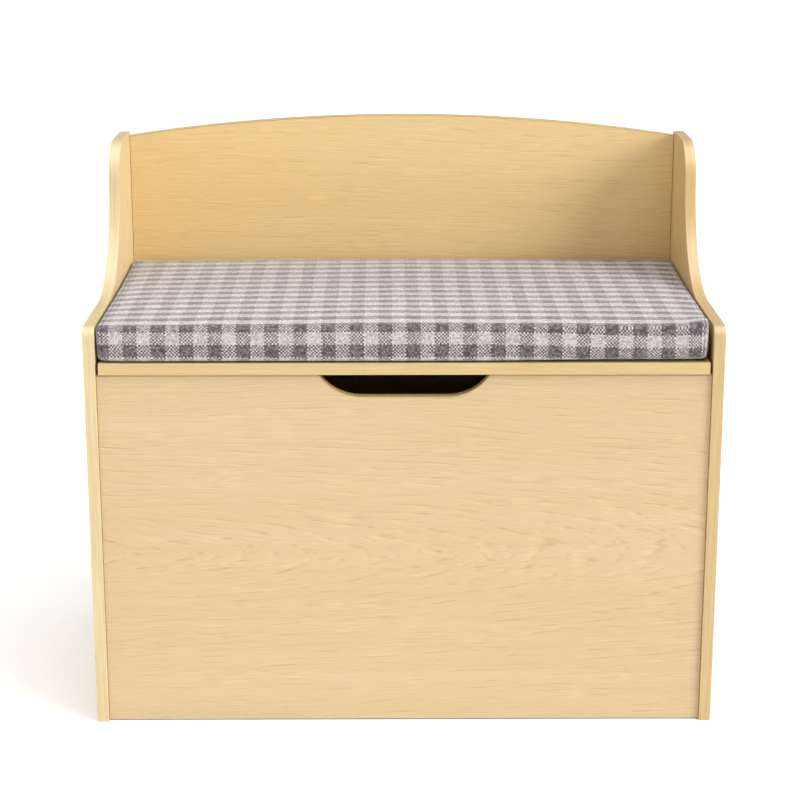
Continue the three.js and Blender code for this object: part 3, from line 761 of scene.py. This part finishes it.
SEAM_HALF_WIDTH = (0.3 * MM, 1.0 * MM)  # where its soft edge starts and ends
# how much darker the seam's crease is drawn: painted shade in the groove
SEAM_PAINTED_SHADE = 0.5
SEAM_DEPTH = 2.5

# Rates are per metre for the cloth's unevenness and flecks, and per thread for slubs and fuzz
DRIFT_RATES = (55, 160)
DRIFT = 1.3
FLECK_RATES = (560, 620)
FLECKS = (0.34, 0.66)
SLUB_RATES = (0.71, 0.09)  # from one thread to the next, and along a thread
FUZZ_PER_THREAD = (1.9, 1.9)
SLUB_HEIGHT = 0.8
FLAT_THREAD = 0.55  # a thread's height beside a crossing, as a share of its height on it
GROUND_SHADE = 0.40  # the yarn's shade before these parts are added
# The rise is painted light and shade: each thread lighter on its round back and darker beside it; the other
# parts are the yarn's own unevenness
YARN_SHADES = {"rise": 0.36, "slub": 0.40, "fuzz": 0.30, "crossing": 0.46, "fleck": 0.10}


def count_threads(t, cloth):
    """The place on the cloth as counts of warp and weft threads, which lie a little unevenly."""
    drift = t.plus(t.streaks(cloth[0], cloth[1], DRIFT_RATES, 1.0), -0.5)
    sway = t.plus(t.streaks(cloth[0], cloth[1], DRIFT_RATES[::-1], 2.0), -0.5)
    warp_rate = 2 * WARP_PER_COLUMN / COLUMN_PAIR
    weft_rate = 2 * WEFT_PER_ROW / ROW_PAIR
    across = t.plus(t.times(t.plus(cloth[0], -FIRST_COLUMN), warp_rate), t.times(drift, DRIFT))
    down = t.plus(t.times(t.plus(cloth[1], -FIRST_ROW), weft_rate), t.times(sway, DRIFT))
    return across, down


def stripe(t, threads, width):
    """0 in the dark stripes of a yarn and 1 in the light ones, each as wide as that many threads."""
    return t.calculate("FLOORED_MODULO", t.calculate("FLOOR", t.times(threads, 1 / width)), 2.0)


def bow(t, threads):
    """The rise of each thread's round back, from 0 between threads to 1 on top."""
    return t.calculate("SINE", t.times(t.calculate("FRACT", threads), math.pi))


def rise(t, along, beside):
    """A thread's rise by its own bow and by the bow of the thread that it crosses."""
    return t.times(along, t.plus(FLAT_THREAD, t.times(beside, 1 - FLAT_THREAD)))


def painted_pad_shade(t, cloth):
    """Painted shade on the cloth by its place: darker on the front face, and darker on the top towards its
    rear by the backrest.
    """
    top = t.step(cloth[1], PAD_LOW.y, PAD_HIGH.y, *PAINTED_SHADE_TOP)
    return t.times(top, t.step(cloth[1], PAD_LOW.y, PAD_LOW.y + PAD_EDGE, PAINTED_SHADE_FRONT, 1))


def yarn_on_top(t, cloth, across, down, weft_over, crossing):
    """The colour of the yarn that shows: the weft's where it lies over or stands proud, or the warp's."""
    proud = t.step(cloth[1], PAD_LOW.y + PROUD_FROM, PAD_LOW.y + PROUD_TO, *WEFT_PROUD)
    weft_share = t.calculate("MAXIMUM", weft_over, proud)
    light = t.blend(weft_share, stripe(t, across, WARP_PER_COLUMN), stripe(t, down, WEFT_PER_ROW))
    dark_yarn = t.mix(t.times(crossing, MELANGE), YARN_DARK, YARN_LIGHT)
    return t.mix(light, dark_yarn, YARN_LIGHT)


def slubs(t, across, down, weft_over):
    """The slow thick and thin of the thread that lies on top."""
    warp_slub = t.streaks(t.calculate("FLOOR", across), down, SLUB_RATES, 3.0, 3, 0.6)
    weft_slub = t.streaks(across, t.calculate("FLOOR", down), SLUB_RATES[::-1], 9.0, 3, 0.6)
    return t.blend(weft_over, warp_slub, weft_slub)


def weave_height(t, across, down, weft_over):
    """The height of the thread that lies on top."""
    warp_bow = bow(t, across)
    weft_bow = bow(t, down)
    return t.blend(weft_over, rise(t, warp_bow, weft_bow), rise(t, weft_bow, warp_bow))


def seam_line(t, cloth):
    """1 on the seams beside the two end panels, and 0 away from them."""
    from_seam = t.plus(t.calculate("ABSOLUTE", cloth[0]), SEAM_INSET - PAD_HIGH.x)
    return t.step(t.calculate("ABSOLUTE", from_seam), *SEAM_HALF_WIDTH, 1, 0)


def gingham():
    """Plain-weave gingham: a warp and a weft of dark and light stripes, drawn thread by thread."""
    t = Shader("gingham")
    cloth = t.add("SeparateXYZ", {0: t.add("UVMap", {}, uv_map="cloth").outputs[0]}).outputs
    across, down = count_threads(t, cloth)
    warp_thread = t.calculate("FLOOR", across)
    weft_thread = t.calculate("FLOOR", down)
    crossing = t.add("TexWhiteNoise", {"Vector": t.combine(warp_thread, weft_thread, 0.0)}).outputs["Value"]
    weft_over = t.calculate("FLOORED_MODULO", t.plus(warp_thread, weft_thread), 2.0)
    yarn = yarn_on_top(t, cloth, across, down, weft_over, crossing)

    height = weave_height(t, across, down, weft_over)
    slub = slubs(t, across, down, weft_over)
    fuzz = t.streaks(across, down, FUZZ_PER_THREAD, 5.0, 2, 0.6)
    fleck = t.step(t.streaks(cloth[0], cloth[1], FLECK_RATES, 8.0, 1), *FLECKS, -1, 1)
    # The rise paints light on each thread's back and shade between threads
    parts = {
        "rise": height,
        "slub": slub,
        "fuzz": t.plus(fuzz, -0.5),
        "crossing": t.plus(crossing, -0.5),
        "fleck": fleck,
    }
    shade = GROUND_SHADE
    for name, part in parts.items():
        shade = t.plus(shade, t.times(part, YARN_SHADES[name]))
    seam = seam_line(t, cloth)
    # Painted shade in the seam's crease, with a groove in the bump
    shade = t.times(shade, t.plus(1, t.times(seam, -SEAM_PAINTED_SHADE)))
    height = t.plus(height, t.times(seam, -SEAM_DEPTH))

    # The yarn's shade times the painted shade of its place on the pad
    t.set("Base Color", t.shade(yarn, t.times(shade, painted_pad_shade(t, cloth))))
    t.set("Roughness", t.plus(0.82, t.times(fuzz, 0.15)))
    t.set("Sheen Weight", 0.45)
    t.set("Sheen Roughness", 0.5)
    t.set("Sheen Tint", (0.95, 0.91, 0.90, 1))
    t.set("Specular IOR Level", 0.25)
    t.bump(t.plus(height, t.times(slub, SLUB_HEIGHT)), 0.25 * MM, 0.5)
    return t.material


def make_pad():
    pad = bpy.data.objects.new("seat_pad", pad_mesh())
    bpy.context.scene.collection.objects.link(pad)
    pad.data.materials.append(gingham())
    swell(pad)
    settle(pad)
    fine = pad.modifiers.new("fine", "SUBSURF")
    fine.levels = 1
    fine.render_levels = 1
    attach(pad, "lid")
    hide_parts("pad_cover", "pad_foam")


make_camera()
make_world()
make_lamps()
make_floor()
dress_boards()
dress_edgings()
dress_hardware()
make_pad()
